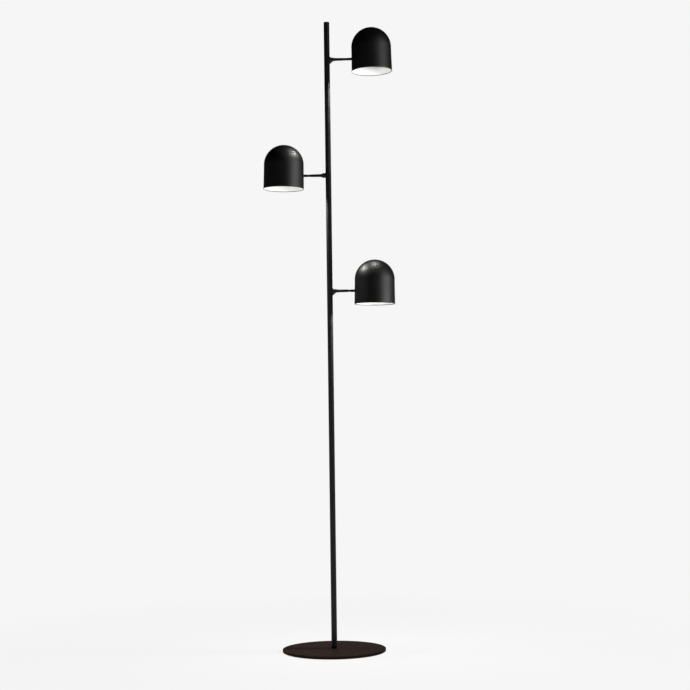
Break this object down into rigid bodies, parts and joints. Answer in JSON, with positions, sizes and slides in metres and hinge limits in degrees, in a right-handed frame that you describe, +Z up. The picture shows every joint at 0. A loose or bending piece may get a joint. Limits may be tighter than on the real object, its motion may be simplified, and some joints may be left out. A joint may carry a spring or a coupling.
{
  "type": "tree floor lamp",
  "caption": "Tree floor lamp: disc base, slender pole and short arms at three heights, each with a dome-topped shade that swivels and nods.",
  "frame": {"origin": "centre of the base on the floor", "axes": "+Z up along the pole; +X along the top and low arms, the middle arm along -X; -Y is the front, the cord entry is at the rear, +Y"},
  "size_m": [0.319, 0.25, 1.54],
  "materials": {
    "base_coat": "fine-texture powder coat, black",
    "pole_coat": "satin powder coat, black",
    "arm_coat": "satin powder coat, black",
    "shade_coat": "satin black outside, gloss white inside",
    "zinc_steel": "bright zinc plate",
    "black_steel": "black oxide",
    "black_nylon": "moulded, matt",
    "foam_pad": "closed-cell foam",
    "lead_sleeve": "silicone sleeve",
    "steatite": "unglazed steatite",
    "bulb_shell": "moulded, white",
    "nickel_pin": "nickel plate",
    "bulb_lens": "frosted diffuser, lit"
  },
  "bodies": {
    "stand": {"base_pad": "foam_pad", "base_plate": "base_coat", "base_screw": "zinc_steel", "pole_foot_insert": "zinc_steel", "lower_pole": "pole_coat", "pole_coupler": "zinc_steel", "upper_pole": "pole_coat", "pole_cap": "pole_coat", "cord_gland": "black_nylon", "lead_splice": "black_nylon", "hub_screws": "black_steel", "top_hub": "arm_coat", "top_leads": "lead_sleeve", "middle_hub": "arm_coat", "middle_leads": "lead_sleeve", "low_hub": "arm_coat", "low_leads": "lead_sleeve"},
    "top_arm_body": {"top_arm": "arm_coat", "top_swivel_washer": "black_nylon", "top_pivot_screw": "black_steel"},
    "top_head": {"top_stub": "arm_coat", "top_shade": "shade_coat", "top_strap": "zinc_steel", "top_stub_washer": "zinc_steel", "top_stub_nut": "zinc_steel", "top_holder": "steatite", "top_holder_screws": "zinc_steel", "top_bulb_body": "bulb_shell", "top_bulb_pins": "nickel_pin", "top_bulb_lens": "bulb_lens", "top_head_leads": "lead_sleeve"},
    "middle_arm_body": {"middle_arm": "arm_coat", "middle_swivel_washer": "black_nylon", "middle_pivot_screw": "black_steel"},
    "middle_head": {"middle_stub": "arm_coat", "middle_shade": "shade_coat", "middle_strap": "zinc_steel", "middle_stub_washer": "zinc_steel", "middle_stub_nut": "zinc_steel", "middle_holder": "steatite", "middle_holder_screws": "zinc_steel", "middle_bulb_body": "bulb_shell", "middle_bulb_pins": "nickel_pin", "middle_bulb_lens": "bulb_lens", "middle_head_leads": "lead_sleeve"},
    "low_arm_body": {"low_arm": "arm_coat", "low_swivel_washer": "black_nylon", "low_pivot_screw": "black_steel"},
    "low_head": {"low_stub": "arm_coat", "low_shade": "shade_coat", "low_strap": "zinc_steel", "low_stub_washer": "zinc_steel", "low_stub_nut": "zinc_steel", "low_holder": "steatite", "low_holder_screws": "zinc_steel", "low_bulb_body": "bulb_shell", "low_bulb_pins": "nickel_pin", "low_bulb_lens": "bulb_lens", "low_head_leads": "lead_sleeve"}
  },
  "joints": [
    {"name": "top_arm_swivel", "type": "hinge", "parent": "stand", "child": "top_arm_body", "pos_m": [0.012, 0, 1.447], "axis": [1, 0, 0], "range_deg": [-165, 165]},
    {"name": "top_head_nod", "type": "hinge", "parent": "top_arm_body", "child": "top_head", "pos_m": [0.0485, 0, 1.447], "axis": [0, -1, 0], "range_deg": [-45, 45]},
    {"name": "middle_arm_swivel", "type": "hinge", "parent": "stand", "child": "middle_arm_body", "pos_m": [-0.012, 0, 1.16], "axis": [-1, 0, 0], "range_deg": [-165, 165]},
    {"name": "middle_head_nod", "type": "hinge", "parent": "middle_arm_body", "child": "middle_head", "pos_m": [-0.0485, 0, 1.16], "axis": [0, 1, 0], "range_deg": [-45, 45]},
    {"name": "low_arm_swivel", "type": "hinge", "parent": "stand", "child": "low_arm_body", "pos_m": [0.012, 0, 0.875], "axis": [1, 0, 0], "range_deg": [-165, 165]},
    {"name": "low_head_nod", "type": "hinge", "parent": "low_arm_body", "child": "low_head", "pos_m": [0.0485, 0, 0.875], "axis": [0, -1, 0], "range_deg": [-45, 45]}
  ]
}
